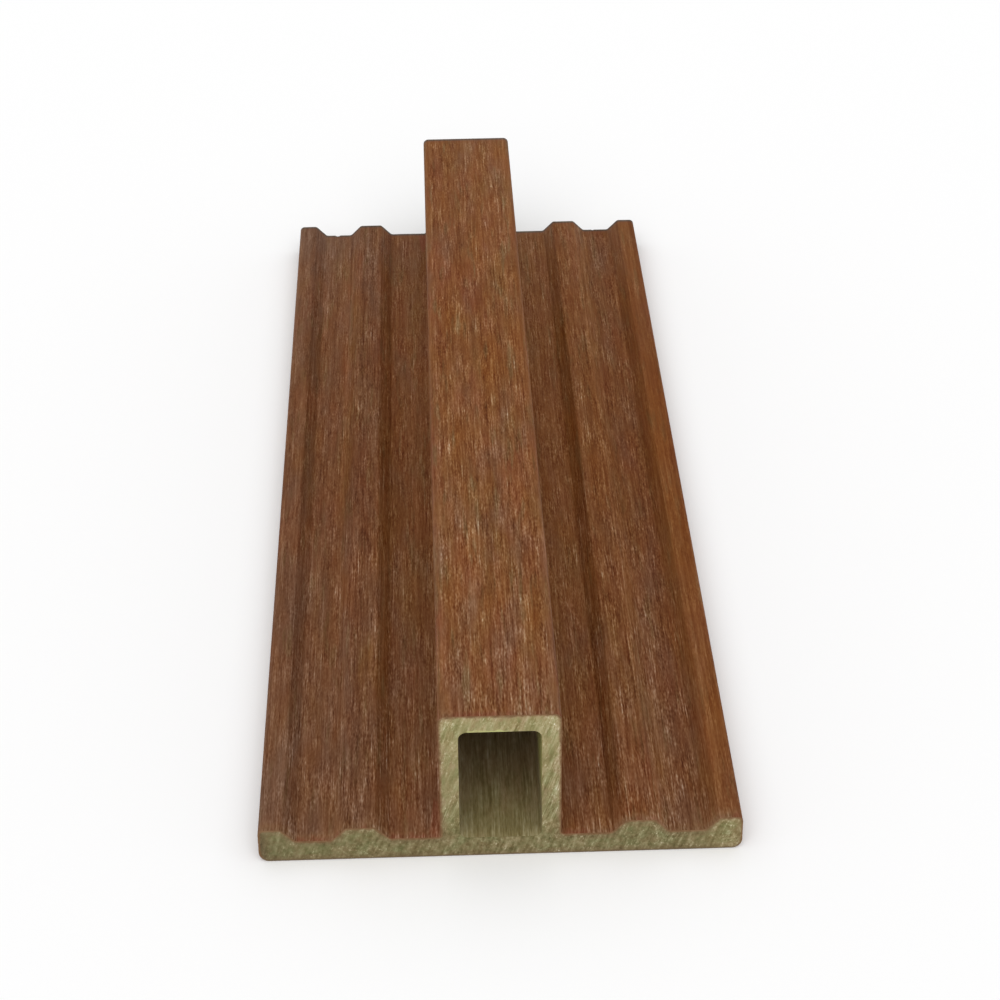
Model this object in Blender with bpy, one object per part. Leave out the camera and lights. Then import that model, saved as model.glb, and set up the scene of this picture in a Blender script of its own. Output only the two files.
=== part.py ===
"""Hollow composite trim for siding boards: one extruded length with saw-cut ends.

A flat base carries a hollow rib along its middle. Each half of the base has a screw valley
beside the rib, a raised ridge that a board seats on, a second valley and a raised lip along
the edge. The whole length is one piece of stock with the same section from end to end.

Metres, +Z up. The trim lies on its flat back. X runs across it, Y along its length, and the
origin is at the middle of the back.
"""

import math

import bpy
from mathutils import Vector

PART_NAME = "trim_profile"
COLLECTION_NAME = "composite_siding_trim"

# Length of the stock
LENGTH = 0.230

# Widths across one half of the section, from the rib outwards
RIB_WIDTH = 0.0200
SCREW_VALLEY_WIDTH = 0.0082
RIDGE_TOP_WIDTH = 0.0049
EDGE_VALLEY_WIDTH = 0.0058
LIP_TOP_WIDTH = 0.0039
SLOPE_RUN = 0.0024

# Heights above the flat back
RIB_HEIGHT = 0.0284
BASE_THICKNESS = 0.0040
RIDGE_RISE = 0.0024

# Walls round the hollow chamber of the rib
SIDE_WALL = 0.00325
TOP_WALL = 0.00325
CHAMBER_FLOOR = 0.0037

# Radii of the extrusion's edges
BACK_CORNER_RADIUS = 0.0018
LIP_CORNER_RADIUS = 0.0010
RIB_CORNER_RADIUS = 0.0012
RIB_FOOT_RADIUS = 0.0004
SLOPE_EDGE_RADIUS = 0.0008
CHAMBER_RADIUS = 0.0014

# Longest turn of one facet on a rounded edge, and how much of an edge one rounding may take
FACET_TURN = math.radians(11.25)
EDGE_SHARE = 0.48

# Finish of the extruded skin
SKIN_COLOUR = (0.170, 0.074, 0.034, 1.0)
SKIN_ROUGHNESS = 0.62


def clear_scene():
    """Remove what the new file holds."""
    for thing in list(bpy.data.objects):
        bpy.data.objects.remove(thing, do_unlink=True)


def skin_material():
    """Brown extruded wood and plastic composite."""
    material = bpy.data.materials.new("composite_skin")
    material.use_nodes = True
    shader = material.node_tree.nodes["Principled BSDF"]
    shader.inputs["Base Color"].default_value = SKIN_COLOUR
    shader.inputs["Roughness"].default_value = SKIN_ROUGHNESS
    shader.inputs["Metallic"].default_value = 0.0
    return material


def rounded_corner(before, corner, after, radius):
    """Points of the arc that replaces a corner, held short enough for both of its edges."""
    to_before = before - corner
    to_after = after - corner
    turn = math.pi - to_before.angle(to_after)
    reach = min(
        radius * math.tan(turn / 2),
        EDGE_SHARE * to_before.length,
        EDGE_SHARE * to_after.length,
    )
    fitted_radius = reach / math.tan(turn / 2)
    start = corner + reach * to_before.normalized()
    end = corner + reach * to_after.normalized()
    middle = (to_before.normalized() + to_after.normalized()).normalized()
    centre = corner + middle * math.hypot(fitted_radius, reach)
    steps = max(2, math.ceil(turn / FACET_TURN))
    start_arm = start - centre
    sweep = start_arm.angle_signed(end - centre)
    points = []
    for step in range(steps + 1):
        angle = -sweep * step / steps
        cosine, sine = math.cos(angle), math.sin(angle)
        arm = Vector((
            start_arm.x * cosine - start_arm.y * sine,
            start_arm.x * sine + start_arm.y * cosine,
        ))
        points.append(centre + arm)
    return points


def rounded_outline(corners):
    """Closed outline through (x, z, radius) corners, each with its own rounding."""
    places = [Vector((x, z)) for x, z, radius in corners]
    outline = []
    for index, (x, z, radius) in enumerate(corners):
        before = places[index - 1]
        after = places[(index + 1) % len(places)]
        outline += rounded_corner(before, places[index], after, radius)
    return outline


def half_profile():
    """Corners of the right half, from the back's edge up and in to the top of the rib."""
    ridge_top = BASE_THICKNESS + RIDGE_RISE
    rib_side = RIB_WIDTH / 2
    valley_end = rib_side + SCREW_VALLEY_WIDTH
    ridge_start = valley_end + SLOPE_RUN
    ridge_end = ridge_start + RIDGE_TOP_WIDTH
    edge_valley_start = ridge_end + SLOPE_RUN
    edge_valley_end = edge_valley_start + EDGE_VALLEY_WIDTH
    lip_start = edge_valley_end + SLOPE_RUN
    side = lip_start + LIP_TOP_WIDTH
    return [
        (side, 0.0, BACK_CORNER_RADIUS),
        (side, ridge_top, LIP_CORNER_RADIUS),
        (lip_start, ridge_top, SLOPE_EDGE_RADIUS),
        (edge_valley_end, BASE_THICKNESS, SLOPE_EDGE_RADIUS),
        (edge_valley_start, BASE_THICKNESS, SLOPE_EDGE_RADIUS),
        (ridge_end, ridge_top, SLOPE_EDGE_RADIUS),
        (ridge_start, ridge_top, SLOPE_EDGE_RADIUS),
        (valley_end, BASE_THICKNESS, SLOPE_EDGE_RADIUS),
        (rib_side, BASE_THICKNESS, RIB_FOOT_RADIUS),
        (rib_side, RIB_HEIGHT, RIB_CORNER_RADIUS),
    ]


def outer_outline():
    """The whole outer outline: the right half and its mirror image."""
    right = half_profile()
    left = [(-x, z, radius) for x, z, radius in reversed(right)]
    return rounded_outline(right + left)


def chamber_outline():
    """The hollow chamber inside the rib and the base below it."""
    half_width = RIB_WIDTH / 2 - SIDE_WALL
    top = RIB_HEIGHT - TOP_WALL
    return rounded_outline([
        (-half_width, CHAMBER_FLOOR, CHAMBER_RADIUS),
        (half_width, CHAMBER_FLOOR, CHAMBER_RADIUS),
        (half_width, top, CHAMBER_RADIUS),
        (-half_width, top, CHAMBER_RADIUS),
    ])


def add_outline(curve, outline):
    """Add one closed outline to a flat curve."""
    spline = curve.splines.new("POLY")
    spline.points.add(len(outline) - 1)
    for point, place in zip(spline.points, outline):
        point.co = (place.x, place.y, 0.0, 1.0)
    spline.use_cyclic_u = True


def trim_profile(collection):
    """The section as a filled outline, drawn out along the length and laid on its back."""
    section = bpy.data.curves.new(PART_NAME, "CURVE")
    section.dimensions = "2D"
    section.fill_mode = "BOTH"
    section.extrude = LENGTH / 2
    add_outline(section, outer_outline())
    add_outline(section, chamber_outline())
    section.materials.append(skin_material())
    trim = bpy.data.objects.new(PART_NAME, section)
    trim.rotation_euler = (math.radians(90), 0.0, 0.0)
    collection.objects.link(trim)
    return trim


def main():
    clear_scene()
    collection = bpy.data.collections.new(COLLECTION_NAME)
    bpy.context.scene.collection.children.link(collection)
    trim_profile(collection)


main()
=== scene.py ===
"""Hollow composite siding trim: one sawn length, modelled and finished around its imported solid.

The trim is one extruded piece. Its section is drawn on a block, drawn up into ridges, lips and a
rib, rounded, hollowed and then given the shallow relief of a brushed surface and of sawn ends.
"""

import math

import bmesh
import bpy
import numpy as np
from bpy.props import FloatProperty, FloatVectorProperty, IntProperty, PointerProperty
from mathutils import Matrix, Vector


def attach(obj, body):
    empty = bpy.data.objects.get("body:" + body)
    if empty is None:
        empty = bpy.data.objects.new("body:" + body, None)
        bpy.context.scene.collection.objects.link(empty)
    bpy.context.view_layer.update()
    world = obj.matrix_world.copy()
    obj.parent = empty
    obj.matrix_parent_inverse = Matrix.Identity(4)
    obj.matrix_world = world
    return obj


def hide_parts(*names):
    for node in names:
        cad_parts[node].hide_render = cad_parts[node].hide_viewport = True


bl_info = {
    "name": "Composite Siding Trim",
    "version": (1, 0, 0),
    "blender": (4, 5, 0),
    "location": "View3D > Sidebar > Siding Trim",
    "description": "Models a hollow composite siding trim with its finishes and a plain studio",
    "category": "Object",
}

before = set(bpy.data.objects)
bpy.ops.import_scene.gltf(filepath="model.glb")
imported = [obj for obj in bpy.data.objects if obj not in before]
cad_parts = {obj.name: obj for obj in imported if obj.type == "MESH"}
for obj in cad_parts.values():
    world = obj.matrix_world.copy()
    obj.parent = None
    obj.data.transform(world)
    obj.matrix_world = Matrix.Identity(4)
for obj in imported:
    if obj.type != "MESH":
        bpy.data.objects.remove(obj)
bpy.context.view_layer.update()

NODE = "trim_profile"
PIECE_NAME = "composite_trim"

MM = 0.001
TOUCH = 1e-6

# Least part of a normal along an axis: on a face square to it, and on a sawn end with its relief
SQUARE_ON = 0.99
SAWN_FACING = 0.3

# Turns of the section's edges, longest turn of one facet, and largest turn that is shaded smooth
RIGHT_ANGLE = math.radians(90)
SLOPE_TURN = math.radians(45)
FACET_TURN = math.radians(11)
SMOOTH_TURN = math.radians(35)

# How far the chamber's cutter runs past each end, and the least vertex weight that is kept
CHAMBER_OVERRUN = 10 * MM
LEAST_WEIGHT = 0.02

# Relief: size of a texture's cell across, along and up, and slant of the saw's marks
BRUSHED_CELL = (1.1 * MM, 70 * MM, 1.1 * MM)
WAVE_CELL = (9 * MM, 90 * MM, 9 * MM)
SAW_CELL = (1.2 * MM, 20 * MM, 9 * MM)
SAW_SLANT = math.radians(30)

# Tones: slant of those on a sawn end, change of gamma per tone, and softness of a pale fibre
SAW_TILT = (0.0, math.radians(18), 0.0)
GAMMA_PER_TONE = -0.42
FIBRE_EDGE = 0.2

# Studio: floor and its gap below the trim in metres, sensor in millimetres, camera's near limit
FLOOR_WIDTH = 8.0
FLOOR_GAP = 0.05 * MM
SENSOR_WIDTH = 36.0
NEAREST_VIEW = 0.01


def length_property(name, description, default, least=0.0):
    """A size or a place in metres."""
    return FloatProperty(
        name=name, description=description, default=default, min=least,
        precision=5, unit="LENGTH", subtype="DISTANCE",
    )


def colour_property(name, description, default):
    """A linear colour, given as red, green and blue."""
    return FloatVectorProperty(
        name=name, description=description, default=(*default, 1.0), min=0.0, max=1.0,
        size=4, subtype="COLOR",
    )


class TrimSizes(bpy.types.PropertyGroup):
    """Sizes of the extruded section, its roundings and its surface relief"""

    length: length_property("Length", "Sawn length of the trim", 0.230)
    rib_width: length_property("Rib width", "Width of the hollow rib", 0.0200)
    screw_valley: length_property("Screw valley", "Flat between the rib and the ridge", 0.0082)
    ridge_top: length_property("Ridge top", "Flat top of each ridge", 0.0049)
    edge_valley: length_property("Edge valley", "Flat between the ridge and the lip", 0.0058)
    lip_top: length_property("Lip top", "Flat top of each edge lip", 0.0039)
    slope_run: length_property("Slope run", "Width of each slope beside a ridge or lip", 0.0024)
    rib_height: length_property("Rib height", "Top of the rib above the back", 0.0284)
    base_thickness: length_property("Base thickness", "Valleys above the back", 0.0040)
    ridge_rise: length_property("Ridge rise", "Ridges and lips above the valleys", 0.0024)
    side_wall: length_property("Side wall", "Wall of the rib beside the chamber", 0.00325)
    top_wall: length_property("Top wall", "Wall of the rib over the chamber", 0.00325)
    chamber_floor: length_property("Chamber floor", "Chamber's floor above the back", 0.0037)
    back_radius: length_property("Back radius", "Rounding of the back's long edges", 0.0018)
    lip_radius: length_property("Lip radius", "Rounding of the lips' outer edges", 0.0010)
    rib_radius: length_property("Rib radius", "Rounding of the rib's top edges", 0.0012)
    foot_radius: length_property("Foot radius", "Rounding where the rib meets the base", 0.0004)
    slope_radius: length_property("Slope radius", "Rounding at both edges of a slope", 0.0008)
    chamber_radius: length_property("Chamber radius", "Rounding inside the chamber", 0.0014)
    skin: length_property("Skin", "Thickness of the coloured skin", 0.00036)
    arris: length_property("Arris", "Break along the sawn edges", 0.00010)
    grid: length_property("Grid", "Spacing of the relief across the section", 0.0005)
    rows: IntProperty(
        name="Rows", description="Cuts along the length that carry the relief",
        default=91, min=1, max=100,
    )
    brushing: length_property("Brushing", "Depth of the long brushed grooves", 0.00003)
    waviness: length_property("Waviness", "Depth of the die's long waves", 0.00005)
    saw_marks: length_property("Saw marks", "Depth of the relief on the sawn ends", 0.00005)
    # Reach of the painted highlight along the edges of the ridges, lips and rib
    ridge_highlight: length_property("Ridge highlight", "Painted highlight band along a ridge's or lip's edge", 0.0010)
    rib_highlight: length_property("Rib highlight", "Painted highlight band along the rib's top edges", 0.0018)
    left_chip: length_property(
        "Left chip", "Place across of the chip in the left outer valley", -0.0311, least=-1.0
    )
    left_chip_radius: length_property("Left chip radius", "Reach of the left chip", 0.0007)
    right_chip: length_property(
        "Right chip", "Place across of the chip in the right outer valley", 0.0302
    )
    right_chip_radius: length_property("Right chip radius", "Reach of the right chip", 0.0004)


class TrimColours(bpy.types.PropertyGroup):
    """Colours of the skin, of the sawn core and of the chamber"""

    red_brown: colour_property("Red brown", "Reddest patches of the skin", (0.198, 0.068, 0.026))
    yellow_brown: colour_property(
        "Yellow brown", "Yellowest patches of the skin", (0.182, 0.078, 0.024)
    )
    grey_brown: colour_property("Grey brown", "Greyest skin", (0.165, 0.083, 0.047))
    orange_brown: colour_property("Orange brown", "Warmest skin", (0.210, 0.072, 0.015))
    olive_brown: colour_property("Olive brown", "Olive patches of the skin", (0.150, 0.088, 0.034))
    smear: colour_property("Smear", "Skin smeared by the saw", (0.207, 0.064, 0.030))
    dust: colour_property("Dust", "Dusty skin along a sawn edge", (0.203, 0.106, 0.049))
    # Painted shade along the very edge of the far end
    far_edge_shade: colour_property("Far edge shade", "Very edge of the far end", (0.100, 0.074, 0.053))
    rim_dark: colour_property("Rim dark", "Dark bits of the sawn skin", (0.140, 0.074, 0.030))
    rim_pale: colour_property("Rim pale", "Pale bits of the sawn skin", (0.190, 0.098, 0.045))
    khaki: colour_property("Khaki", "Sawn core", (0.355, 0.289, 0.137))
    green_khaki: colour_property("Green khaki", "Greener parts of the core", (0.270, 0.250, 0.104))
    pink_khaki: colour_property("Pink khaki", "Core beside the skin", (0.375, 0.285, 0.150))
    base_green: colour_property("Base green", "Greener parts of the base", (0.290, 0.265, 0.108))
    base_brown: colour_property("Base brown", "Browner parts of the base", (0.345, 0.262, 0.117))
    stain: colour_property("Stain", "Stained core at the left lip", (0.215, 0.150, 0.062))
    burr_and_highlight: colour_property("Burr and highlight", "Burr and painted highlight at the chamber's mouth", (0.400, 0.400, 0.160))
    # Painted shade on the skin's rim next to the floor
    back_edge_shade: colour_property("Back edge shade", "Rim of the end at the back", (0.130, 0.090, 0.045))
    chamber: colour_property("Chamber", "Chamber near its mouth", (0.219, 0.177, 0.076))
    chamber_deep: colour_property("Chamber deep", "Chamber further in", (0.262, 0.184, 0.091))
    chamber_side: colour_property("Chamber side", "Chamber's right side", (0.260, 0.240, 0.065))


class StudioSettings(bpy.types.PropertyGroup):
    """Floor, light and camera"""

    camera_place: FloatVectorProperty(
        name="Camera place", description="Where the camera stands",
        default=(-0.0094854, -0.4476171, 0.2720245), subtype="TRANSLATION", unit="LENGTH",
    )
    camera_turn: FloatVectorProperty(
        name="Camera turn", description="How the camera is turned",
        default=(1.0224, 0.0088, -0.0351), subtype="EULER", unit="ROTATION",
    )
    lens: FloatProperty(
        name="Lens", description="Focal length for a 36 mm wide sensor", default=92.64, min=1.0
    )
    sky: FloatProperty(name="Sky", description="Strength of the pale sky", default=0.70, min=0.0)
    front_light: FloatProperty(
        name="Front light", description="Soft light from over the camera", default=1.6, min=0.0
    )
    front_light_turn: FloatVectorProperty(
        name="Front light turn", description="How the front light is turned",
        default=(math.radians(49), 0.0, math.radians(-4)), subtype="EULER", unit="ROTATION",
    )
    front_light_spread: FloatProperty(
        name="Front light spread", description="Angle across the front light",
        default=math.radians(60), subtype="ANGLE", unit="ROTATION",
    )
    floor_colour: colour_property("Floor", "Colour of the floor", (0.965, 0.965, 0.965))


# Modelling helpers

def start_alone():
    """Leave edit mode's leftovers behind and deselect everything."""
    if bpy.context.object and bpy.context.object.mode != "OBJECT":
        bpy.ops.object.mode_set(mode="OBJECT")
    bpy.ops.object.select_all(action="DESELECT")


def box_primitive(name, low, high):
    """A cube primitive brought to the size and place of a box."""
    start_alone()
    bpy.ops.mesh.primitive_cube_add(size=1.0, location=(low + high) / 2)
    block = bpy.context.object
    block.name = name
    block.data.name = name
    block.scale = high - low
    bpy.ops.object.transform_apply(location=True, rotation=True, scale=True)
    return block


def select_only(piece, kind, test):
    """In edit mode, select just the VERT, EDGE or FACE items that pass a test."""
    bpy.ops.mesh.select_mode(type=kind)
    bpy.ops.mesh.select_all(action="DESELECT")
    cage = bmesh.from_edit_mesh(piece.data)
    items = {"VERT": cage.verts, "EDGE": cage.edges, "FACE": cage.faces}[kind]
    count = 0
    for item in items:
        if test(item):
            item.select_set(True)
            count += 1
    cage.select_flush_mode()
    bmesh.update_edit_mesh(piece.data)
    if not count:
        raise RuntimeError(f"nothing to select on {piece.name}")


def cut_at(axis, positions, threshold=TOUCH):
    """Cut the whole mesh in edit mode by planes square to an axis."""
    normal = Vector((0.0, 0.0, 0.0))
    normal[axis] = 1.0
    for position in positions:
        bpy.ops.mesh.select_all(action="SELECT")
        bpy.ops.mesh.bisect(plane_co=normal * position, plane_no=normal, threshold=threshold)


def round_edges(piece, places, radius, turn):
    """Round the lengthwise edges that stand at the given (x, z) places."""
    def stands_there(edge):
        first, second = (vert.co for vert in edge.verts)
        if abs(first.x - second.x) > TOUCH or abs(first.z - second.z) > TOUCH:
            return False
        return any(abs(first.x - x) < TOUCH and abs(first.z - z) < TOUCH for x, z in places)

    select_only(piece, "EDGE", stands_there)
    bevel_selected(radius * math.tan(turn / 2), math.ceil(turn / FACET_TURN))


def bevel_selected(offset, segments):
    """Bevel the selected edges in edit mode."""
    bpy.ops.mesh.bevel(
        offset=offset, offset_type="OFFSET", segments=segments, profile=0.5,
        affect="EDGES", clamp_overlap=False,
    )


def apply_modifiers(piece):
    """Apply every modifier in order."""
    start_alone()
    piece.select_set(True)
    bpy.context.view_layer.objects.active = piece
    for modifier in list(piece.modifiers):
        bpy.ops.object.modifier_apply(modifier=modifier.name)


def cut_away(piece, cutter):
    """Cut the shape of a cutter out of a piece, and remove the cutter."""
    cut = piece.modifiers.new("cut", "BOOLEAN")
    cut.operation = "DIFFERENCE"
    cut.solver = "EXACT"
    cut.object = cutter
    apply_modifiers(piece)
    bpy.data.objects.remove(cutter, do_unlink=True)


# The trim's shape

def stations(sizes):
    """Distances from the middle to the edges of one half of the section."""
    widths = [
        ("rib_side", sizes.rib_width / 2),
        ("valley_end", sizes.screw_valley),
        ("ridge_start", sizes.slope_run),
        ("ridge_end", sizes.ridge_top),
        ("edge_valley_start", sizes.slope_run),
        ("edge_valley_end", sizes.edge_valley),
        ("lip_start", sizes.slope_run),
        ("side", sizes.lip_top),
    ]
    places = {}
    reach = 0.0
    for name, width in widths:
        reach += width
        places[name] = reach
    return places


def both_sides(values):
    """Each distance on the right and on the left."""
    return values + [-value for value in values]


def raise_profile(trim, sizes):
    """Raise the ridges, lips and rib from the base, then merge the faces of its ends and back."""
    at = stations(sizes)
    inner = [value for name, value in at.items() if name != "side"]
    cut_at(0, both_sides(inner))
    lifted = both_sides([at["ridge_start"], at["ridge_end"], at["lip_start"], at["side"]])
    base = sizes.base_thickness
    select_only(
        trim, "VERT",
        lambda vert: abs(vert.co.z - base) < TOUCH
        and any(abs(vert.co.x - x) < TOUCH for x in lifted),
    )
    bpy.ops.transform.translate(value=(0.0, 0.0, sizes.ridge_rise))
    select_only(
        trim, "FACE",
        lambda face: face.normal.z > SQUARE_ON and abs(face.calc_center_median().x) < TOUCH,
    )
    bpy.ops.mesh.extrude_region_move(
        TRANSFORM_OT_translate={"value": (0.0, 0.0, sizes.rib_height - base)}
    )
    for outward in (Vector((0, -1, 0)), Vector((0, 1, 0)), Vector((0, 0, -1))):
        select_only(trim, "FACE", lambda face: face.normal.dot(outward) > SQUARE_ON)
        bpy.ops.mesh.dissolve_faces()


def round_profile(trim, sizes):
    """Give every long edge of the outside its radius."""
    at = stations(sizes)
    base = sizes.base_thickness
    top = base + sizes.ridge_rise
    upper = both_sides([at["ridge_start"], at["ridge_end"], at["lip_start"]])
    lower = both_sides([at["valley_end"], at["edge_valley_start"], at["edge_valley_end"]])
    slopes = [(x, top) for x in upper] + [(x, base) for x in lower]
    sides = both_sides([at["side"]])
    rib_sides = both_sides([at["rib_side"]])
    round_edges(trim, [(x, 0.0) for x in sides], sizes.back_radius, RIGHT_ANGLE)
    round_edges(trim, [(x, top) for x in sides], sizes.lip_radius, RIGHT_ANGLE)
    round_edges(trim, slopes, sizes.slope_radius, SLOPE_TURN)
    round_edges(trim, [(x, base) for x in rib_sides], sizes.foot_radius, RIGHT_ANGLE)
    round_edges(trim, [(x, sizes.rib_height) for x in rib_sides], sizes.rib_radius, RIGHT_ANGLE)


def mark_skin_line(trim, sizes):
    """Draw the line between skin and core on both ends, and one more as far inside it."""
    select_only(trim, "FACE", lambda face: abs(face.normal.y) > SQUARE_ON)
    for _ in range(2):
        bpy.ops.mesh.inset(thickness=sizes.skin, use_individual=True, use_even_offset=True)


def chamber_box(sizes, overrun=0.0):
    """Two opposite corners of the chamber, run past both ends."""
    half = sizes.rib_width / 2 - sizes.side_wall
    reach = sizes.length / 2 + overrun
    return (
        Vector((-half, -reach, sizes.chamber_floor)),
        Vector((half, reach, sizes.rib_height - sizes.top_wall)),
    )


def cut_chamber(trim, sizes):
    """Cut the hollow chamber with a rounded bar."""
    low, high = chamber_box(sizes, CHAMBER_OVERRUN)
    bar = box_primitive("chamber_bar", low, high)
    bpy.ops.object.mode_set(mode="EDIT")
    corners = [(x, z) for x in (low.x, high.x) for z in (low.z, high.z)]
    round_edges(bar, corners, sizes.chamber_radius, RIGHT_ANGLE)
    bpy.ops.object.mode_set(mode="OBJECT")
    cut_away(trim, bar)


def break_sawn_edges(trim, sizes):
    """Break the sharp edges that the saw leaves."""
    def is_sawn(edge):
        turns = sorted(abs(face.normal.y) for face in edge.link_faces)
        return len(turns) == 2 and turns[0] < 1 - SQUARE_ON and turns[1] > SQUARE_ON

    select_only(trim, "EDGE", is_sawn)
    bevel_selected(sizes.arris, 2)


def even_cuts(limits, step):
    """Evenly spaced places between neighbouring limits, the limits themselves left out."""
    places = []
    for start, end in zip(limits, limits[1:]):
        parts = max(1, round((end - start) / step))
        places += [start + (end - start) * part / parts for part in range(1, parts)]
    return places


def add_relief_grid(trim, sizes):
    """Cut the section into a fine grid and the length into rows, to carry the relief."""
    at = stations(sizes)
    low, high = chamber_box(sizes)
    near_miss = sizes.grid / 20
    across = even_cuts([0.0, high.x, at["rib_side"], at["side"]], sizes.grid)
    cut_at(0, [0.0] + both_sides(across), near_miss)
    ridge_top = sizes.base_thickness + sizes.ridge_rise
    levels = [0.0, low.z, sizes.base_thickness, ridge_top, high.z, sizes.rib_height]
    cut_at(2, even_cuts(levels, sizes.grid), near_miss)
    select_only(
        trim, "EDGE",
        lambda edge: abs(edge.verts[0].co.y - edge.verts[1].co.y) > sizes.length / 2,
    )
    bpy.ops.mesh.subdivide(number_cuts=sizes.rows, smoothness=0.0)


class Surface:
    """Where every vertex of the trim lies and how it faces, before the relief is pressed in."""

    def __init__(self, trim, sizes):
        low, high = chamber_box(sizes)
        margin = 2 * sizes.arris
        count = len(trim.data.vertices)
        place = np.zeros(count * 3)
        normal = np.zeros(count * 3)
        trim.data.vertices.foreach_get("co", place)
        trim.data.vertex_normals.foreach_get("vector", normal)
        self.place = place.reshape(-1, 3)
        across = normal.reshape(-1, 3)[:, [0, 2]]
        length = np.maximum(np.linalg.norm(across, axis=1), TOUCH)
        self.across = across / length[:, None]
        self.inside = (
            (np.abs(self.place[:, 0]) < high.x + margin)
            & (self.place[:, 2] > low.z - margin)
            & (self.place[:, 2] < high.z + margin)
        )
        self.end = np.abs(self.place[:, 1]) > sizes.length / 2 - TOUCH
        self.skin = ~self.inside & ~self.end


def group_by_facing(trim, surface):
    """Weigh every vertex by how far it faces up, down, left, right, or out of an end."""
    sideways, upwards = surface.across[:, 0], surface.across[:, 1]
    front = surface.place[:, 1] < 0
    weights = {
        "faces_right": np.where(surface.skin, sideways, 0.0),
        "faces_left": np.where(surface.skin, -sideways, 0.0),
        "faces_up": np.where(surface.skin, upwards, 0.0),
        "faces_down": np.where(surface.skin, -upwards, 0.0),
        "front_end": np.where(surface.end & front, 1.0, 0.0),
        "rear_end": np.where(surface.end & ~front, 1.0, 0.0),
    }
    for name, values in weights.items():
        group = trim.vertex_groups.new(name=name)
        for index in np.nonzero(values > LEAST_WEIGHT)[0]:
            group.add([int(index)], float(values[index]), "REPLACE")


def store_on_vertices(trim, name, values):
    """Store one number per vertex for the materials to read."""
    attribute = trim.data.attributes.new(name, "FLOAT", "POINT")
    attribute.data.foreach_set("value", values)


def mark_surfaces(trim, sizes, surface):
    """Store the bands of painted highlight along the edges of the ridges, lips and rib, and how
    deep the points of an end lie under the skin.
    """
    at = stations(sizes)
    ridge_top = sizes.base_thickness + sizes.ridge_rise
    ridge_edges = both_sides([at["ridge_start"], at["ridge_end"], at["lip_start"], at["side"]])
    painted_edge_highlight = np.zeros(len(surface.place))
    for places, height, reach in (
        (ridge_edges, ridge_top, sizes.ridge_highlight),
        (both_sides([at["rib_side"]]), sizes.rib_height, sizes.rib_highlight),
    ):
        for x in places:
            gap = np.hypot(surface.place[:, 0] - x, surface.place[:, 2] - height)
            painted_edge_highlight = np.maximum(painted_edge_highlight, (1.0 - gap / reach) * surface.skin)
    store_on_vertices(trim, "painted_edge_highlight", painted_edge_highlight)

    low, high = chamber_box(sizes)
    cage = bmesh.new()
    cage.from_mesh(trim.data)
    outline = []
    for edge in cage.edges:
        first, second = (vert.co for vert in edge.verts)
        on_end = [face.normal.y < -SQUARE_ON for face in edge.link_faces]
        in_mouth = max(abs(first.x), abs(second.x)) < high.x + sizes.side_wall / 2
        in_mouth = in_mouth and low.z / 2 < first.z < high.z + sizes.top_wall / 2
        if sorted(on_end) == [False, True] and not in_mouth:
            outline.append((first.x, first.z, second.x, second.z))
    cage.free()
    outline = np.array(outline)
    start, run = outline[:, :2], outline[:, 2:] - outline[:, :2]
    run_squared = (run ** 2).sum(axis=1)
    depth = np.where(surface.inside, sizes.side_wall / MM, 0.0)
    for index in np.nonzero(surface.end)[0]:
        to_point = surface.place[index, [0, 2]] - start
        share = np.clip((to_point * run).sum(axis=1) / run_squared, 0.0, 1.0)
        gap = np.linalg.norm(to_point - share[:, None] * run, axis=1).min()
        depth[index] = (gap + sizes.arris) / MM
    store_on_vertices(trim, "skin_depth", depth)


def press_relief(trim, group, texture, guide, axis, depth):
    """Press one texture into the vertices of one group along an axis."""
    push = trim.modifiers.new(group, "DISPLACE")
    push.texture = texture
    push.texture_coords = "OBJECT"
    push.texture_coords_object = guide
    push.direction = axis
    push.mid_level = 0.0
    push.strength = depth
    push.vertex_group = group


def relief_guide(name, cell, slant=0.0):
    """An empty whose own space stretches a relief texture to the size of a cell."""
    guide = bpy.data.objects.new(name, None)
    bpy.context.scene.collection.objects.link(guide)
    guide.scale = cell
    guide.rotation_euler = (0.0, slant, 0.0)
    return guide


def cloud_texture(name):
    """A soft noise of about one unit across."""
    texture = bpy.data.textures.new(name, "CLOUDS")
    texture.noise_basis = "IMPROVED_PERLIN"
    texture.noise_scale = 1.0
    texture.noise_depth = 1
    return texture


def add_relief(trim, sizes, surface):
    """Brushed grooves and long waves along the skin, and saw marks on the ends."""
    group_by_facing(trim, surface)
    guides = {
        "brushed": relief_guide("brushed_guide", BRUSHED_CELL),
        "waves": relief_guide("wave_guide", WAVE_CELL),
        "saw": relief_guide("saw_guide", SAW_CELL, SAW_SLANT),
    }
    textures = {name: cloud_texture(name) for name in guides}
    bpy.context.view_layer.update()
    inwards = {
        "faces_right": ("X", -1), "faces_left": ("X", 1),
        "faces_up": ("Z", -1), "faces_down": ("Z", 1),
    }
    for group, (axis, sign) in inwards.items():
        for name, depth in (("brushed", sizes.brushing), ("waves", sizes.waviness)):
            press_relief(trim, group, textures[name], guides[name], axis, sign * depth)
    press_relief(trim, "front_end", textures["saw"], guides["saw"], "Y", sizes.saw_marks)
    press_relief(trim, "rear_end", textures["saw"], guides["saw"], "Y", -sizes.saw_marks)
    apply_modifiers(trim)
    for guide in guides.values():
        bpy.data.objects.remove(guide, do_unlink=True)
    for texture in textures.values():
        bpy.data.textures.remove(texture)
    trim.vertex_groups.clear()


def chip_far_end(trim, sizes):
    """Break the small chips out of the far end's upper edge, one in each outer valley."""
    for across, radius in (
        (sizes.left_chip, sizes.left_chip_radius), (sizes.right_chip, sizes.right_chip_radius)
    ):
        start_alone()
        bpy.ops.mesh.primitive_ico_sphere_add(
            subdivisions=1, radius=radius,
            location=(across, sizes.length / 2, sizes.base_thickness),
        )
        cut_away(trim, bpy.context.object)


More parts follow.
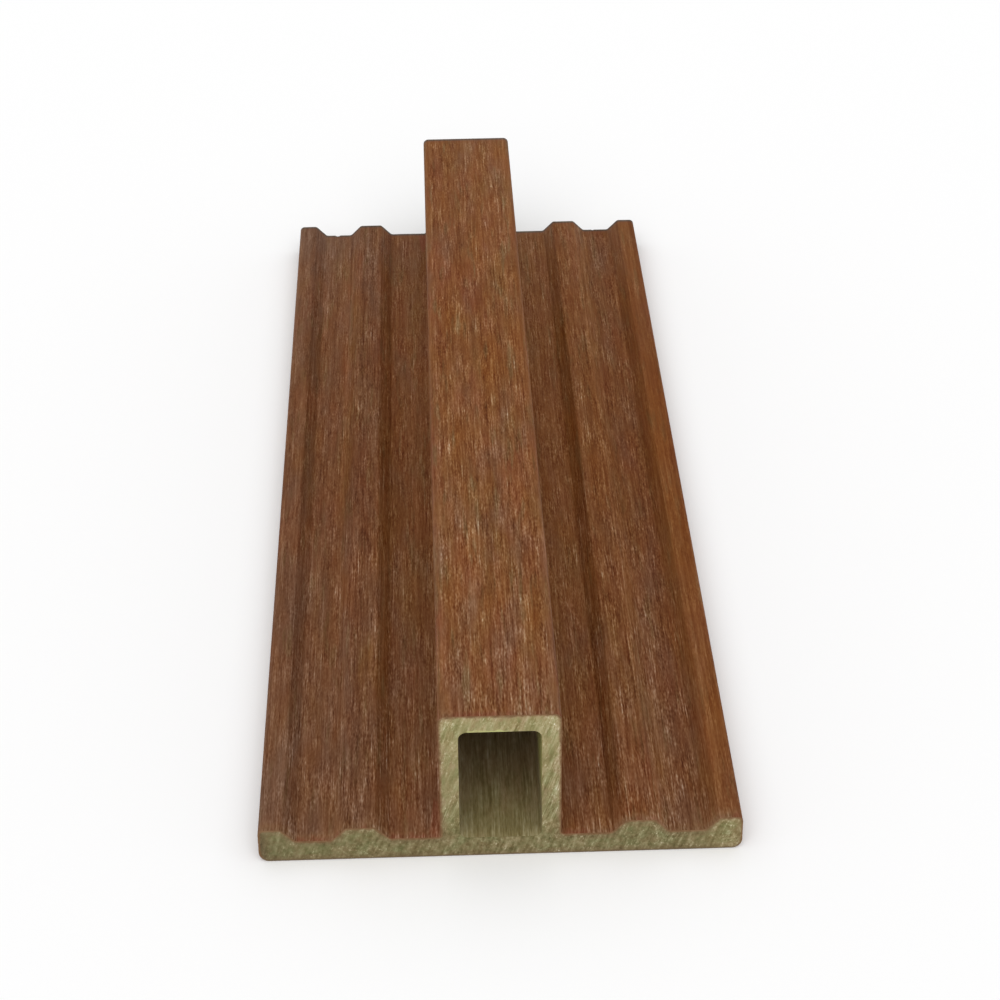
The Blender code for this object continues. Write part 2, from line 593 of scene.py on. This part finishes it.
class OBJECT_OT_composite_trim(bpy.types.Operator):
    """Model the extruded trim and give it its three finishes"""

    bl_idname = "object.composite_trim"
    bl_label = "Add Composite Trim"
    bl_options = {"REGISTER", "UNDO"}

    def execute(self, context):
        sizes = context.scene.trim_sizes
        colours = context.scene.trim_colours
        at = stations(sizes)
        low = Vector((-at["side"], -sizes.length / 2, 0.0))
        high = Vector((at["side"], sizes.length / 2, sizes.base_thickness))
        trim = box_primitive(PIECE_NAME, low, high)
        bpy.ops.object.mode_set(mode="EDIT")
        raise_profile(trim, sizes)
        round_profile(trim, sizes)
        mark_skin_line(trim, sizes)
        bpy.ops.object.mode_set(mode="OBJECT")
        cut_chamber(trim, sizes)
        bpy.ops.object.mode_set(mode="EDIT")
        break_sawn_edges(trim, sizes)
        add_relief_grid(trim, sizes)
        bpy.ops.object.mode_set(mode="OBJECT")
        surface = Surface(trim, sizes)
        mark_surfaces(trim, sizes, surface)
        add_relief(trim, sizes, surface)
        chip_far_end(trim, sizes)
        bpy.ops.object.shade_smooth_by_angle(angle=SMOOTH_TURN)
        add_finishes(trim, sizes, colours)
        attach(trim, "root")
        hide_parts(NODE)
        return {"FINISHED"}


# Materials

class Wiring:
    """Adds nodes to one material and joins them."""

    def __init__(self, name):
        self.material = bpy.data.materials.new(name)
        self.material.use_nodes = True
        self.tree = self.material.node_tree
        self.shader = self.tree.nodes["Principled BSDF"]
        self.coordinates = self.node("TexCoord", "Object")
        self.across, self.along, self.height = (
            self.node("SeparateXYZ", axis, {"Vector": self.coordinates}) for axis in "XYZ"
        )

    def join(self, source, socket):
        """Join an output to an input, or set a plain value on it."""
        if isinstance(source, bpy.types.NodeSocket):
            self.tree.links.new(source, socket)
        else:
            socket.default_value = source

    def node(self, kind, output, inputs=None, **settings):
        """Add a node, set it up, fill its inputs and give one of its outputs."""
        node = self.tree.nodes.new("ShaderNode" + kind)
        for name, value in settings.items():
            setattr(node, name, value)
        for name, source in (inputs or {}).items():
            self.join(source, node.inputs[name])
        return node.outputs[output]

    def cells(
        self, size, place=(0, 0, 0), detail=2.0, roughness=0.6, turn=(0, 0, 0), distortion=0.0
    ):
        """Noise in cells of a width, a length and maybe a height in millimetres."""
        width, length, height = size if len(size) == 3 else (*size, size[0])
        mapping = {
            "Vector": self.coordinates,
            "Scale": [width * MM, length * MM, height * MM],
            "Rotation": turn,
            "Location": [value * MM for value in place],
        }
        noise = {
            "Vector": self.node("Mapping", "Vector", mapping, vector_type="TEXTURE"),
            "Scale": 1.0, "Detail": detail, "Roughness": roughness, "Distortion": distortion,
        }
        return self.node("TexNoise", "Fac", noise)

    def grade(self, value, low, high, out_low=0.0, out_high=1.0, smooth=True):
        """Stretch a range of a value to another range."""
        limits = {"From Min": low, "From Max": high, "To Min": out_low, "To Max": out_high}
        kind = "SMOOTHSTEP" if smooth else "LINEAR"
        return self.node("MapRange", "Result", {"Value": value, **limits}, interpolation_type=kind)

    def ramp(self, place, start, end, out_start=0.0, out_end=1.0, smooth=True):
        """Go from one number to another between two places in millimetres."""
        return self.grade(place, start * MM, end * MM, out_start, out_end, smooth)

    def math(self, operation, *values):
        """Join two or more values by one operation, from the first to the last."""
        result = values[0]
        for value in values[1:]:
            result = self.node("Math", 0, {0: result, 1: value}, operation=operation)
        return result

    def total(self, *values):
        """All values added."""
        return self.math("ADD", *values)

    def product(self, *values):
        """All values multiplied."""
        return self.math("MULTIPLY", *values)

    def distance(self, value, place):
        """How far a value lies from a place in metres."""
        gap = self.math("SUBTRACT", value, place)
        return self.node("Math", 0, {0: gap}, operation="ABSOLUTE")

    def mix(self, share, first, second):
        """Mix two colours."""
        return self.node("Mix", 2, {0: share, 6: first, 7: second}, data_type="RGBA")

    def scaled(self, colour, factor):
        """A colour made lighter or darker by a factor."""
        return self.node("VectorMath", "Vector", {0: colour, "Scale": factor}, operation="SCALE")

    def toned(self, colour, tones):
        """A colour paler above zero and deeper below, by about one doubling of red per unit."""
        gamma = self.total(self.product(tones, GAMMA_PER_TONE), 1.0)
        return self.node("Gamma", "Color", {"Color": colour, "Gamma": gamma})

    def swing(self, noise, strength):
        """A noise round its middle, as doublings of the given strength."""
        return self.product(self.math("SUBTRACT", noise, 0.5), strength)

    def attribute(self, name):
        """A number stored on the mesh."""
        return self.node("Attribute", "Fac", attribute_name=name)

    def finish(self, colour, roughness, relief, depth, gloss):
        """Join colour, roughness and a relief of the given depth to the shader."""
        relief = {"Strength": 1.0, "Distance": depth, "Height": relief}
        inputs = self.shader.inputs
        inputs["Specular IOR Level"].default_value = gloss
        self.join(colour, inputs["Base Color"])
        self.join(roughness, inputs["Roughness"])
        self.join(self.node("Bump", "Normal", relief), inputs["Normal"])
        return self.material


# Noises of the skin: width and length of a cell and its place in millimetres, detail, strength
LONG_BANDS = (
    (3.6, 150.0, (0, 0, 0), 2.0, 0.65),
    (1.1, 60.0, (7, 40, 3), 2.0, 0.50),
    (0.50, 28.0, (21, 4, 9), 1.0, 0.75),
)
FINE_FIBRES = (
    (0.32, 9.0, (1, 9, 2), 1.0, 1.90),
    (0.25, 3.0, (5, 3, 8), 0.0, 1.35),
    (0.21, 1.0, (8, 1, 4), 0.0, 1.35),
)

# Pale fibres: width, length and place as above, where a fibre starts, strength
PALE_FIBRES = (
    (0.16, 1.1, (2, 7, 3), 0.60, 0.62),
    (0.16, 5.0, (9, 1, 6), 0.62, 0.90),
    (0.15, 28.0, (4, 6, 1), 0.63, 1.35),
)

# Stripes along the trim: middle and reach to each side in millimetres, strength
# Partly the die's own streaks; the lighter stripes over the inner valleys (±14.1) and on the slopes
# at ±19.4 and 26.7 mm are painted light that lifts the shade on them
DIE_AND_PAINTED_LIGHT_STRIPES = (
    (-39.5, 3.0, -0.05), (-36.0, 2.0, -0.07), (-34.6, 1.6, 0.10), (-33.0, 1.2, 0.06),
    (-30.5, 3.0, -0.04), (-25.5, 1.5, -0.06), (-23.0, 4.0, -0.12), (-19.4, 1.6, 0.15),
    (-17.9, 1.2, -0.06), (-14.1, 5.0, 0.16), (-11.0, 2.0, 0.08), (-8.6, 0.4, 0.16),
    (-1.9, 2.6, -0.11), (1.4, 2.6, -0.06), (8.6, 0.4, 0.12), (14.1, 5.0, 0.17),
    (17.4, 1.8, 0.04), (19.4, 2.0, 0.22), (23.0, 3.0, 0.05), (26.7, 2.0, 0.23),
    (28.5, 1.2, -0.08), (31.4, 3.6, -0.20), (34.8, 1.4, 0.05), (39.5, 1.6, -0.19),
)
SMEAR_STRIPES = (
    (-31.0, 4.0, 0.20), (-13.0, 4.5, 0.28), (-5.0, 5.0, 0.12), (0.0, 11.0, 0.10),
    (12.0, 4.0, 0.26), (30.5, 3.0, 0.06),
)
CLEAR_STRIPES = (
    (-39.7, 1.2, -0.20), (-38.0, 4.0, -0.36), (-31.0, 5.0, -0.14), (-26.7, 1.8, -0.22),
    (-23.0, 3.5, 0.14), (-13.0, 4.0, -0.13), (0.0, 12.0, -0.04), (23.0, 4.0, 0.06),
    (30.5, 4.0, 0.12), (38.0, 3.0, 0.10),
)
DUST_STRIPES = (
    (-38.0, 3.5, 0.10), (-30.5, 5.0, 0.35), (-23.0, 3.5, 0.10), (-12.0, 3.0, -0.10),
    (0.0, 13.0, -0.40), (23.0, 4.5, 0.35), (30.5, 4.0, 0.15), (37.5, 4.5, 0.45),
)
GREY_STRIPES = ((-19.4, 1.9, -0.14), (19.4, 1.9, -0.08))
SAW_STRIPES = ((-40.0, 26.0, -0.30), (8.4, 3.5, 0.20), (39.0, 7.0, 0.28))
FAR_GREY_STRIPES = ((-38.0, 3.5, 0.06), (-23.0, 4.0, 0.12), (-31.0, 4.0, 0.04))
FAR_HALF_STRIPES = ((-38.0, 3.5, -0.05), (-23.0, 4.0, 0.06))
# Partly the skin's tone toward the far end, partly painted light: the stripe at 35.2 mm lifts the
# right lip's slope
FAR_LIGHT_STRIPES = (
    (-38.0, 3.5, 0.13), (-23.0, 4.0, 0.02), (-9.2, 1.6, -0.16), (9.4, 1.2, -0.06),
    (23.0, 4.0, 0.05), (35.2, 2.2, 0.12),
)

# Where each part of the trim begins and is fully there, in millimetres along it
NEAR_TO_FAR = (-100.0, 100.0)
FAR_HALF = (-50.0, 10.0)
FAR_THIRD = (30.0, 110.0)

# The same for the rib's outside and for the walls of its sawn ends, in millimetres above the back
RIB_SIDES = (10.0, 12.0)
RIB_WALLS = (5.0, 9.0)


def stretched_tones(wires, layers):
    """Sum of noises, each with its width and length in millimetres, place, detail and strength."""
    return wires.total(*(
        wires.swing(wires.cells((width, length), place, detail, 0.5), strength)
        for width, length, place, detail, strength in layers
    ))


def striped(wires, stripes):
    """Sum of soft stripes along the whole length."""
    return wires.total(*(
        wires.ramp(wires.distance(wires.across, middle * MM), 0.0, reach, strength, 0.0)
        for middle, reach, strength in stripes
    ))


def from_nearer_end(wires, sizes):
    """How far in from the nearer sawn end."""
    return wires.math("SUBTRACT", sizes.length / 2, wires.distance(wires.along, 0.0))


def pale_fibres(wires):
    """How much of a short, middling or long pale fibre of the skin lies here."""
    return wires.math("MAXIMUM", *(
        wires.grade(
            wires.cells((width, length), place, 0.0), start, start + FIBRE_EDGE, 0.0, strength
        )
        for width, length, place, start, strength in PALE_FIBRES
    ))


def fibre_clearness(wires, sizes):
    """How clearly the fibres show: in patches, less far back, on the right lip and rib edges."""
    patches = wires.cells((2.4, 10.0), (17, 5, 9))
    rib_edges = wires.product(wires.attribute("painted_edge_highlight"), wires.ramp(wires.height, *RIB_SIDES))
    end = sizes.length / 2
    return wires.product(
        wires.grade(patches, 0.35, 0.65, 0.45, 1.15),
        wires.ramp(wires.across, 33, 36, 1.0, 0.5),
        wires.total(striped(wires, CLEAR_STRIPES), 1.0),
        wires.ramp(wires.along, -100, 110, 1.09, 0.76, smooth=False),
        wires.ramp(wires.height, *RIB_SIDES, 0.96, 1.04),
        wires.grade(wires.along, end - 3.5 * MM, end - MM, 1.0, 0.35),
        wires.grade(rib_edges, 0.15, 0.45, 1.0, 0.55),
    )


def skin_hue(wires, colours):
    """Patches of redder, yellower and olive brown, greyer to the left, warmer on the right lip."""
    across, along = wires.across, wires.along
    vivid = wires.ramp(wires.height, 8, 12, 0.65, 1.0)
    yellow = wires.product(wires.swing(wires.cells((4.2, 22.0), (13, 60, 5)), 1.0), vivid)
    grey = wires.product(wires.swing(wires.cells((3.8, 20.0), (31, 170, 12)), 1.0), vivid)
    olive = wires.cells((1.6, 16.0), (7, 11, 3))
    warm_lip = wires.product(
        wires.ramp(across, 33, 37.5, 0.0, -0.145), wires.ramp(along, 20, 100, 1.0, 0.0)
    )
    far_left = wires.product(
        wires.ramp(along, 100, 113, 0.0, 0.16), wires.ramp(across, -36, -18, 1.0, 0.0)
    )
    far_half = wires.product(striped(wires, FAR_GREY_STRIPES), wires.ramp(along, *FAR_HALF))
    greyer_left = wires.ramp(across, -39, -9, 0.27, 0.05, smooth=False)
    warmer_from_rib = wires.ramp(across, -10.5, -9.5, 0.0, -0.05)
    right_valley = wires.ramp(wires.distance(across, 31 * MM), 0, 6, 0.17, 0.0)
    greyer_near = wires.ramp(along, -110, 0, 0.06, -0.12, smooth=False)
    greyer_far = wires.ramp(along, *FAR_THIRD, 0.0, 0.07, smooth=False)
    grey = wires.total(
        grey, 0.5, greyer_left, warmer_from_rib, right_valley, warm_lip, far_left,
        striped(wires, GREY_STRIPES), far_half, greyer_near, greyer_far,
    )
    colour = wires.mix(
        wires.grade(yellow, -0.20, 0.20, smooth=False), colours.red_brown, colours.yellow_brown
    )
    for end, hue in ((0.90, colours.grey_brown), (0.10, colours.orange_brown)):
        colour = wires.mix(wires.grade(grey, 0.50, end, smooth=False), colour, hue)
    olive = wires.product(wires.grade(olive, 0.54, 0.74, 0.0, 0.60), vivid)
    return wires.mix(olive, colour, colours.olive_brown)


def sawn_edge_hue(wires, sizes, colours, colour):
    """Skin beside the sawn ends: dusty at the near end, red in patches, and darkened along the far
    edge by painted shade.
    """
    along = wires.along
    ragged = wires.cells((0.5, 3.0), (8, 2, 4))
    uneven = wires.total(
        wires.cells((3.0, 40.0), (5, 7, 1), 1.0, 0.5),
        wires.ramp(along, *NEAR_TO_FAR, 0.0, 0.22),
        striped(wires, SMEAR_STRIPES),
    )
    from_end = from_nearer_end(wires, sizes)
    reach = wires.total(from_end, wires.grade(ragged, 0.2, 0.8, -0.6 * MM, 0.6 * MM))
    from_foot = wires.distance(wires.across, -sizes.rib_width / 2 - 0.7 * MM)
    longer_at_foot = wires.ramp(from_foot, 0.2, 1.2, 9.0 * MM, 0.0)
    smear = wires.product(
        wires.ramp(wires.math("SUBTRACT", reach, longer_at_foot), 0.1, 2.0, 1.0, 0.0),
        wires.grade(uneven, 0.50, 0.70, 0.0, 0.70),
    )
    dust = wires.product(
        wires.ramp(reach, 0.3, 3.0, 1.0, 0.0),
        wires.total(striped(wires, DUST_STRIPES), 0.5),
        wires.ramp(along, *NEAR_TO_FAR, 1.0, 0.0),
    )
    # Painted shade along each end's edge, strongest at the far end
    painted_edge_shade = wires.product(
        wires.ramp(from_end, 0.5, 1.5, 1.0, 0.0), wires.ramp(along, *NEAR_TO_FAR, 0.12, 0.88)
    )
    for share, hue in (
        (dust, colours.dust), (smear, colours.smear), (painted_edge_shade, colours.far_edge_shade)
    ):
        colour = wires.mix(share, colour, hue)
    return colour


def skin_tones(wires, clear, fibres):
    """Light and dark of the skin: long bands, fibres, the die's stripes and broad shades, with
    painted light on some valleys and slopes and painted highlights along the edges.
    """
    across, along = wires.across, wires.along
    # Far third: changes of tone, with painted light on the right lip's slope
    far_light = wires.product(
        wires.total(striped(wires, FAR_LIGHT_STRIPES), 0.03), wires.ramp(along, *FAR_THIRD)
    )
    far_half = wires.product(striped(wires, FAR_HALF_STRIPES), wires.ramp(along, *FAR_HALF))
    right_lip = wires.product(
        wires.ramp(across, 34.5, 37), wires.ramp(along, -105, -30, 0.09, -0.05)
    )
    near_edge = wires.product(
        wires.ramp(along, -113.5, -109, 0.07, 0.0),
        wires.ramp(wires.distance(across, 0.0), 18, 22),
    )
    up_rib = wires.ramp(wires.height, 8, 20, -0.18, -0.07)
    # Painted highlight: lighter skin along the edges of the ridges, lips and rib
    painted_edge_highlight = wires.product(wires.attribute("painted_edge_highlight"), 0.07)
    darker_middle = wires.ramp(wires.distance(along, 10 * MM), 0, 90, -0.05, 0.02)
    return wires.total(
        stretched_tones(wires, LONG_BANDS),
        wires.product(stretched_tones(wires, FINE_FIBRES), clear),
        striped(wires, DIE_AND_PAINTED_LIGHT_STRIPES),
        up_rib, painted_edge_highlight, darker_middle, far_light, wires.product(fibres, 0.6),
        right_lip, near_edge, far_half,
    )


def skin_finish(sizes, colours):
    """The brushed brown skin with its fibres, its dusty and smeared sawn edges, and painted light
    and shade along its edges.
    """
    wires = Wiring("brushed_skin")
    colour = sawn_edge_hue(wires, sizes, colours, skin_hue(wires, colours))
    clear = fibre_clearness(wires, sizes)
    fibres = wires.product(pale_fibres(wires), clear)
    tones = skin_tones(wires, clear, fibres)
    roughness = wires.grade(tones, -1.0, 1.0, 0.70, 0.56, smooth=False)
    relief = wires.total(wires.product(tones, 0.35), fibres)
    return wires.finish(wires.toned(colour, tones), roughness, relief, 0.02 * MM, gloss=0.06)


def mouth_burr_and_highlight(wires, sizes):
    """How much of the pale line along the top of the chamber's mouth lies over the sawn end: partly
    a fresh burr, partly a painted highlight on its arris.
    """
    mouth_top = sizes.rib_height - sizes.top_wall
    ragged = wires.cells((1.2, 1.2, 0.3), (6, 2, 9))
    reach = wires.total(wires.height, wires.grade(ragged, 0.3, 0.7, 0.35 * MM, 0.0))
    return wires.product(
        wires.grade(reach, mouth_top + 0.35 * MM, mouth_top + 0.75 * MM, 1.0, 0.0),
        wires.grade(wires.height, mouth_top - MM, mouth_top),
        wires.ramp(wires.across, -5.6, -5.0),
        wires.ramp(wires.across, 0.5, 2.5, 1.0, 0.0),
        wires.grade(ragged, 0.35, 0.60, 0.2, 0.95),
    )


def core_colour(wires, colours):
    """Khaki of the sawn core: darker and patchier in the base, with painted shade that darkens it
    further towards the floor and lightens it up the walls.
    """
    across, height = wires.across, wires.height
    patches = wires.cells((1.6, 1.6, 3.6), (2, 2, 6), 3.0, turn=SAW_TILT)
    tints = wires.cells((2.0, 2.0, 1.5), (9, 2, 5))
    pinks = wires.cells((1.8, 1.8, 3.0), (5, 8, 1))
    under_skin = wires.attribute("skin_depth")
    wall = wires.mix(
        wires.grade(patches, 0.36, 0.60, smooth=False), colours.green_khaki, colours.khaki
    )
    pinker = wires.total(pinks, wires.grade(under_skin, 0.2, 1.6, 0.14, -0.06))
    wall = wires.mix(wires.grade(pinker, 0.45, 0.75), wall, colours.pink_khaki)
    browner = wires.total(tints, wires.grade(under_skin, 0.3, 1.5, 0.30, 0.0))
    base = wires.mix(
        wires.grade(browner, 0.32, 0.68, smooth=False), colours.base_green, colours.base_brown
    )
    base = wires.mix(wires.ramp(across, -40, -37.8, 0.9, 0.0), base, colours.stain)
    colour = wires.mix(wires.ramp(height, *RIB_WALLS, 1.0, 0.0), wall, base)
    base_rim = wires.product(
        wires.grade(under_skin, 0.4, 1.6, -0.055, 0.0), wires.ramp(height, 6, 9, 1.0, 0.0)
    )
    # Painted shade: the end face darker near the floor and paler up the rib's walls
    painted_shade_by_height = wires.ramp(height, 3, 9, 0.49, 0.64)
    painted_light_up_walls = wires.ramp(height, 9, 27, 0.0, 0.17, smooth=False)
    darker_left = wires.ramp(across, -40, -30, -0.065, 0.0)
    paler_right = wires.ramp(across, 30, 38, 0.0, 0.11)
    light = wires.total(painted_shade_by_height, base_rim, painted_light_up_walls, darker_left, paler_right)
    return wires.scaled(colour, light)


def saw_tones(wires, marks, grit):
    """Light and dark of the sawn core: slanting bands, scratches, grit, and mottle in the base."""
    across, height = wires.across, wires.height
    bands = wires.cells((1.0, 30.0, 8.0), roughness=0.5, turn=SAW_TILT)
    soft_marks = wires.cells((0.55, 30.0, 3.0), (6, 1, 3), roughness=0.5, turn=SAW_TILT)
    scratched = wires.cells((2.4, 2.4, 4.5), (7, 3, 2), turn=SAW_TILT)
    specks = wires.cells((0.30, 0.34, 0.5), (4, 9, 7), 1.0, 0.5, SAW_TILT)
    blotches = wires.cells((0.9, 0.9, 0.9), (3, 1, 8))
    zones = wires.cells((2.6, 2.6, 1.8), (1, 6, 4), 1.0, 0.5)
    scratches = wires.product(
        wires.swing(marks, 4.0),
        wires.grade(scratched, 0.46, 0.62, 0.12, 1.2),
        wires.total(
            wires.ramp(height, *RIB_WALLS, 0.15, 1.0), wires.ramp(height, 12, 26, 0.0, -0.50)
        ),
    )
    gritty = wires.product(
        wires.ramp(height, *RIB_WALLS, 1.5, 1.35),
        wires.ramp(across, -40, -26, 0.75, 1.0),
        wires.grade(zones, 0.42, 0.60, 0.45, 1.25),
    )
    tones = wires.total(
        wires.math("MINIMUM", scratches, 0.5),
        wires.swing(bands, 1.25),
        wires.swing(soft_marks, 1.4),
        wires.product(wires.swing(blotches, 1.7), wires.ramp(height, *RIB_WALLS, 1.15, 0.15)),
        wires.product(wires.swing(grit, 1.0), gritty),
        wires.product(wires.grade(specks, 0.58, 0.78, 0.0, 0.45), gritty),
    )
    strength = wires.total(
        striped(wires, SAW_STRIPES), 1.0, wires.ramp(height, 24.5, 25.5, 0.0, 0.20)
    )
    return wires.product(tones, strength)


def sawn_finish(sizes, colours):
    """The khaki core with saw marks, inside a thin rim of skin."""
    wires = Wiring("sawn_core")
    marks = wires.cells((0.30, 30.0, 3.6), detail=3.0, roughness=0.65, turn=SAW_TILT)
    grit = wires.cells((0.30, 0.30, 0.5), turn=SAW_TILT)
    colour = wires.toned(core_colour(wires, colours), saw_tones(wires, marks, grit))
    # Partly burr, partly painted highlight along the top of the chamber's mouth
    colour = wires.mix(mouth_burr_and_highlight(wires, sizes), colour, colours.burr_and_highlight)
    wander = wires.cells((1.2, 1.2), (2, 5, 1), 3.0)
    rim = wires.mix(wires.grade(wander, 0.35, 0.65), colours.rim_dark, colours.rim_pale)
    # Painted shade: the rim of skin darkened next to the floor
    rim = wires.mix(wires.ramp(wires.height, 0.2, 1.2, 1.0, 0.0), rim, colours.back_edge_shade)
    depth = wires.total(wires.attribute("skin_depth"), wires.grade(wander, 0.2, 0.8, -0.20, 0.20))
    colour = wires.mix(wires.grade(depth, 0.08, 0.60), rim, colour)
    roughness = wires.grade(grit, 0.3, 0.7, 0.72, 0.86)
    relief = wires.total(wires.product(marks, 0.7), wires.product(grit, 0.5))
    return wires.finish(colour, roughness, relief, 0.05 * MM, gloss=0.25)


def chamber_finish(sizes, colours):
    """The bare core inside the chamber, with the die's lines."""
    wires = Wiring("chamber_wall")
    lines = wires.cells((0.26, 9.0), distortion=0.3)
    long_lines = wires.cells((0.70, 50.0), (9, 4, 5))
    mottle = wires.cells((1.1, 7.0), (3, 8, 2), 3.0)
    flecks = wires.cells((0.30, 1.6), (6, 6, 3), 1.0, 0.5)
    patches = wires.cells((2.0, 7.0), (1, 5, 7), 1.0, 0.5)
    deep = wires.total(wires.ramp(from_nearer_end(wires, sizes), 2, 24), wires.swing(patches, 1.6))
    colour = wires.mix(deep, colours.chamber, colours.chamber_deep)
    half_width = sizes.rib_width / 2 - sizes.side_wall
    floor = sizes.chamber_floor
    on_side = wires.grade(wires.across, half_width - 0.5 * MM, half_width - 0.1 * MM)
    above_floor = wires.grade(wires.height, floor + 5 * MM, floor + 12 * MM)
    colour = wires.mix(wires.product(on_side, above_floor), colour, colours.chamber_side)
    from_side = wires.math("SUBTRACT", half_width, wires.distance(wires.across, 0.0))
    tones = wires.total(
        wires.product(wires.swing(lines, 2.2), wires.grade(patches, 0.35, 0.65, 1.3, 0.4)),
        wires.ramp(from_side, 0.0, 1.6, 0.30, 0.0),
        wires.grade(wires.across, -half_width, -half_width / 2, 0.16, 0.0),
        wires.swing(long_lines, 1.5), wires.swing(mottle, 1.4), wires.swing(flecks, 1.2),
    )
    roughness = wires.grade(lines, 0.3, 0.7, 0.70, 0.55)
    return wires.finish(wires.toned(colour, tones), roughness, lines, 0.05 * MM, gloss=0.3)


def add_finishes(trim, sizes, colours):
    """Give the skin, the sawn ends and the chamber their materials."""
    low, high = chamber_box(sizes)
    for finish in (skin_finish, sawn_finish, chamber_finish):
        trim.data.materials.append(finish(sizes, colours))
    bpy.ops.object.mode_set(mode="EDIT")
    edge = sizes.length / 2 - 2 * sizes.arris - sizes.saw_marks

    def on_end(face):
        return abs(face.calc_center_median().y) > edge and abs(face.normal.y) > SAWN_FACING

    def in_chamber(face):
        middle = face.calc_center_median()
        return (
            not on_end(face)
            and abs(middle.x) < high.x + sizes.arris
            and low.z - sizes.arris < middle.z < high.z + sizes.arris
        )

    for index, test in ((1, on_end), (2, in_chamber)):
        select_only(trim, "FACE", test)
        trim.active_material_index = index
        bpy.ops.object.material_slot_assign()
    bpy.ops.object.mode_set(mode="OBJECT")


class SCENE_OT_trim_studio(bpy.types.Operator):
    """Add the pale floor, the soft light and the camera"""

    bl_idname = "scene.trim_studio"
    bl_label = "Add Studio"
    bl_options = {"REGISTER", "UNDO"}

    def execute(self, context):
        studio = context.scene.trim_studio
        start_alone()
        bpy.ops.mesh.primitive_plane_add(size=FLOOR_WIDTH, location=(0.0, 0.0, -FLOOR_GAP))
        floor = context.object
        floor.name = "studio_floor"
        bpy.ops.object.transform_apply(location=True, rotation=True, scale=True)
        paper = bpy.data.materials.new("pale_floor")
        paper.use_nodes = True
        shader = paper.node_tree.nodes["Principled BSDF"]
        shader.inputs["Base Color"].default_value = studio.floor_colour
        shader.inputs["Roughness"].default_value = 0.9
        shader.inputs["Specular IOR Level"].default_value = 0.0
        floor.data.materials.append(paper)

        world = bpy.data.worlds.new("pale_sky")
        world.use_nodes = True
        background = world.node_tree.nodes["Background"]
        background.inputs["Color"].default_value = (1.0, 1.0, 1.0, 1.0)
        background.inputs["Strength"].default_value = studio.sky
        context.scene.world = world

        bpy.ops.object.light_add(
            type="SUN", location=(0.0, -1.0, 1.0), rotation=studio.front_light_turn
        )
        light = context.object
        light.name = "front_light"
        light.data.energy = studio.front_light
        light.data.angle = studio.front_light_spread

        bpy.ops.object.camera_add(location=studio.camera_place, rotation=studio.camera_turn)
        camera = context.object
        camera.name = "photo_camera"
        camera.data.sensor_width = SENSOR_WIDTH
        camera.data.sensor_fit = "HORIZONTAL"
        camera.data.lens = studio.lens
        camera.data.clip_start = NEAREST_VIEW
        camera.data.dof.use_dof = False
        context.scene.camera = camera
        context.scene.view_settings.view_transform = "Standard"
        return {"FINISHED"}


class VIEW3D_PT_siding_trim(bpy.types.Panel):
    """Operators and settings of the siding trim"""

    bl_idname = "VIEW3D_PT_siding_trim"
    bl_label = "Siding Trim"
    bl_space_type = "VIEW_3D"
    bl_region_type = "UI"
    bl_category = "Siding Trim"

    def draw(self, context):
        layout = self.layout
        layout.operator(OBJECT_OT_composite_trim.bl_idname)
        layout.operator(SCENE_OT_trim_studio.bl_idname)
        for group in SETTINGS:
            settings = getattr(context.scene, group)
            column = layout.column(align=True)
            for name in settings.__annotations__:
                column.prop(settings, name)


SETTINGS = {"trim_sizes": TrimSizes, "trim_colours": TrimColours, "trim_studio": StudioSettings}
CLASSES = (
    *SETTINGS.values(), OBJECT_OT_composite_trim, SCENE_OT_trim_studio, VIEW3D_PT_siding_trim
)


def register():
    for kind in CLASSES:
        bpy.utils.register_class(kind)
    for name, kind in SETTINGS.items():
        setattr(bpy.types.Scene, name, PointerProperty(type=kind))


def unregister():
    for name in SETTINGS:
        delattr(bpy.types.Scene, name)
    for kind in reversed(CLASSES):
        bpy.utils.unregister_class(kind)


def main():
    register()
    bpy.ops.object.composite_trim()
    bpy.ops.scene.trim_studio()


if __name__ == "__main__":
    main()
